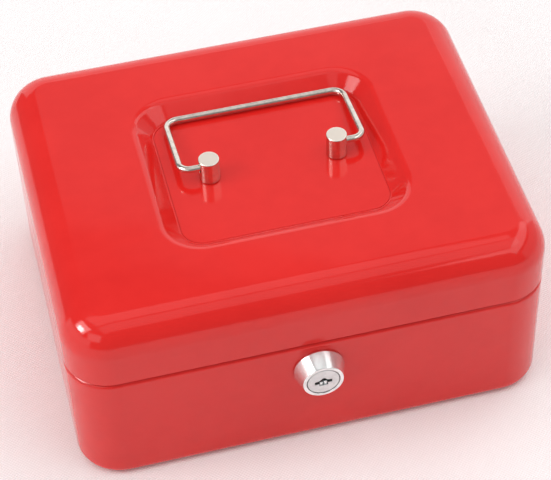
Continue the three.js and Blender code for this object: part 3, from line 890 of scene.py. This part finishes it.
def knuckle(piece, pin, hang, start, end):
    """Adds a rolled knuckle and its root to a leaf, from one place along the pin to another."""
    foot = pin.y - KNUCKLE_RADIUS * MM
    heights = sorted((pin.z, pin.z + hang.z * (KNUCKLE_RADIUS + ROOT_HEIGHT) * MM))
    root_low = Vector((pin.x + (start + ROOT_INSET) * MM, foot + ROOT_INSET * MM, heights[0]))
    root_high = Vector((pin.x + (end - ROOT_INSET) * MM, foot + LEAF_PLATE * 0.9 * MM, heights[1]))
    profile = [(0, start), (KNUCKLE_RADIUS, start), (KNUCKLE_RADIUS, end), (0, end)]
    unite(piece, slab("root", root_low, root_high), turned("knuckle", profile, pin, RIGHT, sides=40))


def leaves(owner):
    """Leaves with two rounded corners, rolled knuckles and two rivet holes each."""
    pin = middle_of("hinge_pin_left")
    hang = {"base": DOWN, "lid": UP}[owner]
    wall = pin.y - KNUCKLE_RADIUS * MM
    far = pin.z + hang.z * LEAF_REACH * MM
    heights = sorted((pin.z + hang.z * (KNUCKLE_RADIUS + GAP) * MM, far))
    low = Vector((pin.x - LEAF_HALF * MM, wall, heights[0]))
    high = Vector((pin.x + LEAF_HALF * MM, wall + LEAF_PLATE * MM, heights[1]))
    piece = slab(f"leaf_{owner}_left", low, high)
    round_edges(piece, "EDGE", lambda edge: running(BACK)(edge)
                and abs(edge.verts[0].co.z - far) < NEAR, LEAF_CORNER * MM, steps=8)
    middle_gap = LID_KNUCKLE + GAP
    spans = {"base": [(-LEAF_HALF, -middle_gap), (middle_gap, LEAF_HALF)],
             "lid": [(-LID_KNUCKLE, LID_KNUCKLE)]}[owner]
    for start, end in spans:
        knuckle(piece, pin, hang, start, end)
    bore_half = (LEAF_HALF + 2) * MM
    holes = [
        rod("bore", KNUCKLE_BORE * MM, pin + LEFT * bore_half, pin + RIGHT * bore_half, sides=36)]
    rivet_z = pin.z + hang.z * RIVET_FROM_PIN * MM
    for x in (-RIVET_X, RIVET_X):
        middle = Vector((pin.x + x * MM, wall, rivet_z))
        holes.append(rod("hole", RIVET_HOLE, middle + FRONT * MM, middle + BACK * 2 * MM, sides=24))
    cut(piece, *holes)
    soften(piece, 0.15 * MM, angle=40)
    smooth(piece)
    fit_pair(piece, owner, "zinc_steel", f"hinge_{owner}_leaf_left")


def hinge_pins():
    low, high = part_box("hinge_pin_left")
    half = (high.x - low.x) / 2 / MM
    edge = 0.3
    profile = [(0, -half)] + arc((PIN_RADIUS - edge, -half + edge), edge, -90, 0, 4)
    profile += arc((PIN_RADIUS - edge, half - edge), edge, 0, 90, 4) + [(0, half)]
    piece = turned("hinge_rod_left", profile, middle_of("hinge_pin_left"), RIGHT, sides=32)
    smooth(piece)
    fit_pair(piece, "base", "zinc_steel", "hinge_pin_left")


def rivets():
    """Rivets with a domed head outside and a flat set head inside the wall."""
    shank, head, dome, set_head, edge = 1.5, 2.8, 1.05, 2.4, 0.3
    seat = GAP + LEAF_PLATE + GAP
    inside = -SHEET / MM - GAP
    end = inside - 1.3
    profile = [(0, end), (set_head - edge, end), (set_head, end + edge), (set_head, inside),
               (shank, inside), (shank, seat), (head, seat)]
    profile += [(head * math.cos(angle), seat + 0.15 + dome * math.sin(angle))
                for angle in turns(math.pi / 2, 8)]
    first = middle_of("hinge_base_rivet_1")
    first.y = BASE_HIGH.y
    piece = turned("rivet", profile, first, BACK, sides=32)
    smooth(piece)
    for owner in ("base", "lid"):
        for place in RIVET_PLACES:
            node = f"hinge_{owner}_rivet_{place}"
            shift = middle_of(node) - middle_of("hinge_base_rivet_1")
            fit(copied(piece, f"rivet_{owner}_{place}", shift), owner, "zinc_steel", node)
    bpy.data.objects.remove(piece)


# ---------------------------------------------------------------- coin tray

TRAY_HALF_X = 90.5          # all in millimetres
TRAY_FRONT = -58
TRAY_BACK = 69
TRAY_BOTTOM = 40
TRAY_TOP = 64
TRAY_DRAFT = 1.8
TRAY_CORNER = 12
TRAY_WALL = 1.6
TRAY_LIP = 1.5
TRAY_LIP_THICKNESS = 1.4
TRAY_BOTTOM_ROUND = 3
BAY_BOTTOM_ROUND = 4
CUP_ROW_BACK = 4
CUP_COUNT = 4
CUP_CORNER = 9
CUP_SCOOP = 8
NOTCH_RADIUS = 14
NOTCH_ABOVE = 8             # how far over the lip the middle of the finger notch lies
LEDGE_SHEET = 1.2


def moulding(name, low, high, corner, bottom_round):
    """A moulded block that narrows downwards, with rounded corners and a rounded bottom edge."""
    low, high = Vector(low) * MM, Vector(high) * MM
    bottom_round *= MM
    start = low + UP * bottom_round
    piece = rounded_block(name, start, high, corner * MM, steps=12)
    narrow = [1 - 2 * TRAY_DRAFT * MM / (high[k] - low[k]) for k in (0, 1)]
    with editing(piece):
        pick(piece, "FACE", facing(DOWN, -start.z))
        bpy.ops.transform.resize(value=(*narrow, 1), center_override=(low + high) / 2)
    shape_cap(piece, DOWN, -start.z, quarter_round(bottom_round, bottom_round, steps=8))
    return piece


def tray():
    """The tray: a note bay at the back, a row of scooped coin cups in front and a stiffening lip."""
    lip_low = (-TRAY_HALF_X - TRAY_LIP, TRAY_FRONT - TRAY_LIP, TRAY_TOP - TRAY_LIP_THICKNESS)
    lip_high = (TRAY_HALF_X + TRAY_LIP, TRAY_BACK + TRAY_LIP, TRAY_TOP)
    piece = moulding("tray_moulding", (-TRAY_HALF_X, TRAY_FRONT, TRAY_BOTTOM),
                     (TRAY_HALF_X, TRAY_BACK, TRAY_TOP), TRAY_CORNER, TRAY_BOTTOM_ROUND)
    unite(piece, rounded_block("lip", Vector(lip_low) * MM, Vector(lip_high) * MM,
                               (TRAY_CORNER + TRAY_LIP) * MM, steps=12))
    inside = TRAY_HALF_X - TRAY_WALL
    floor, above = TRAY_BOTTOM + TRAY_WALL, TRAY_TOP + 1
    bay = moulding("bay", (-inside, CUP_ROW_BACK + TRAY_WALL / 2, floor),
                   (inside, TRAY_BACK - TRAY_WALL, above), TRAY_CORNER - TRAY_WALL, BAY_BOTTOM_ROUND)
    pitch = (2 * inside + TRAY_WALL) / CUP_COUNT
    cup = moulding("cup", (-inside, TRAY_FRONT + TRAY_WALL, floor),
                   (-inside + pitch - TRAY_WALL, CUP_ROW_BACK - TRAY_WALL / 2, above),
                   CUP_CORNER, CUP_SCOOP)
    cups = [cup] + [copied(cup, "cup", RIGHT * place * pitch * MM) for place in range(1, CUP_COUNT)]
    notch_middle = Vector((0, TRAY_FRONT, TRAY_TOP + NOTCH_ABOVE)) * MM
    notch = rod("notch", NOTCH_RADIUS * MM, notch_middle + FRONT * 3 * MM,
                notch_middle + BACK * (TRAY_WALL + 0.5) * MM)
    cut(piece, bay, *cups, notch)
    soften(piece, 0.35 * MM, angle=50)
    smooth(piece)
    fit(piece, "tray", "tray_plastic", "coin_tray")


def ledges():
    """The angle strips inside the side walls that the tray rests on."""
    low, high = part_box("tray_ledge_left")
    sheet = LEDGE_SHEET * MM
    piece = slab("ledge_left", Vector((low.x, low.y, high.z - sheet)), high)
    unite(piece, slab("upright", low, Vector((low.x + sheet, high.y, high.z))))
    soften(piece, 0.3 * MM, segments=3)
    smooth(piece)
    fit_pair(piece, "base", "zinc_steel", "tray_ledge_left", swap=True)


# ---------------------------------------------------------------- camera, floor and light

def outward(azimuth, elevation):
    """The direction at an azimuth and an elevation in degrees. Azimuth 0 is straight behind the box."""
    a, e = math.radians(azimuth), math.radians(elevation)
    return Vector((math.sin(a) * math.cos(e), math.cos(a) * math.cos(e), math.sin(e)))


def look(camera, target, azimuth, elevation, distance, roll):
    """Places the camera on a sphere round the target. Azimuth 0 looks along +Y."""
    back = outward(180 - azimuth, elevation)
    camera.location = target + back * distance
    aim = (-back).to_track_quat("-Z", "Y")
    roll = Matrix.Rotation(math.radians(roll), 3, "Z")
    camera.rotation_euler = (aim.to_matrix() @ roll).to_euler()


def make_camera():
    data = bpy.data.cameras.new("camera")
    camera = bpy.data.objects.new("camera", data)
    bpy.context.scene.collection.objects.link(camera)
    bpy.context.scene.camera = camera
    data.sensor_width = 36
    data.lens = 124.9
    data.shift_x = -0.0808
    data.shift_y = 0.0726
    data.clip_start, data.clip_end = 0.05, 20
    look(camera, target=Vector((12.463, -36.228, 45)) * MM, azimuth=-14.096, elevation=48.173,
         distance=805.39 * MM, roll=-1.026)


def make_floor():
    """A pale woven cloth that the box stands on."""
    release()
    bpy.ops.mesh.primitive_plane_add(size=40)
    floor = settle("floor")
    cloth = Finish("floor_cloth")
    turn = 2 * math.pi / THREAD
    threads = (cloth.along("X") * turn).sine() * (cloth.along("Y") * turn).sine() * 0.5 + 0.5
    tone = 0.35 * cloth.noise(120 * MM) + 0.65 * threads
    cloth.set(
        base_color=cloth.mix(tone, rgb(0.84, 0.79, 0.79), rgb(0.985, 0.955, 0.955)),
        roughness=0.85 + 0.1 * threads)
    cloth.relief((threads, 0.12 * MM), (cloth.noise(0.8 * MM, detail=2), 0.05 * MM))
    floor.data.materials.append(cloth.material)


def softbox(name, azimuth, elevation, width, height, radiance, glints=True, lights=True):
    """A rectangular soft light that faces the box. Its direction and its width and height as the box
    sees them are in degrees, and azimuth 0 is straight behind. It can show in the gloss only, or light
    the box without showing in the gloss."""
    data = bpy.data.lights.new(name, "AREA")
    data.shape = "RECTANGLE"
    data.size = 2 * STUDIO_RADIUS * math.tan(math.radians(width / 2))
    data.size_y = 2 * STUDIO_RADIUS * math.tan(math.radians(height / 2))
    data.energy = radiance * math.pi * data.size * data.size_y
    lamp = bpy.data.objects.new(name, data)
    bpy.context.scene.collection.objects.link(lamp)
    lamp.visible_glossy = glints
    lamp.visible_diffuse = lights
    direction = outward(azimuth, elevation)
    lamp.location = direction * STUDIO_RADIUS
    lamp.rotation_euler = (-direction).to_track_quat("-Z", "Y").to_euler()


def make_light():
    scene = bpy.context.scene
    scene.view_settings.view_transform = "Standard"
    world = bpy.data.worlds.new("room")
    scene.world = world
    world.use_nodes = True
    world.node_tree.nodes["Background"].inputs["Color"].default_value = rgb(1, 1, 1)
    world.node_tree.nodes["Background"].inputs["Strength"].default_value = 0.25
    softbox("back_wall", 16, 20, 82, 39, 0.9)
    softbox("back_upper", 32, 45, 52, 15, 0.35)
    softbox("left_wall", -97, 12, 70, 22, 0.9)
    softbox("right_wall", 95, 16, 76, 32, 0.45)
    softbox("right_window", 103, 51, 78, 24, 1.4)
    softbox("front_left", -138, 33, 28, 22, 1.3)
    softbox("key", -95, 35, 14, 13, 20, lights=False)
    softbox("key_glow", -95, 41, 28, 26, 4)
    softbox("ceiling", 155, 68, 52, 26, 0.55)
    softbox("overhead", -20, 80, 44, 30, 0.7, lights=False)
    softbox("fill", 0, 88, 60, 60, 1.05, glints=False)


make_camera()
make_floor()
make_light()
base_pressing()
lid_pressing()
bail()
posts()
handle_fixings()
bezel()
plug()
wafers()
hex_nut()
cam()
cam_bolt()
strike()
leaves("base")
leaves("lid")
hinge_pins()
rivets()
ledges()
tray()
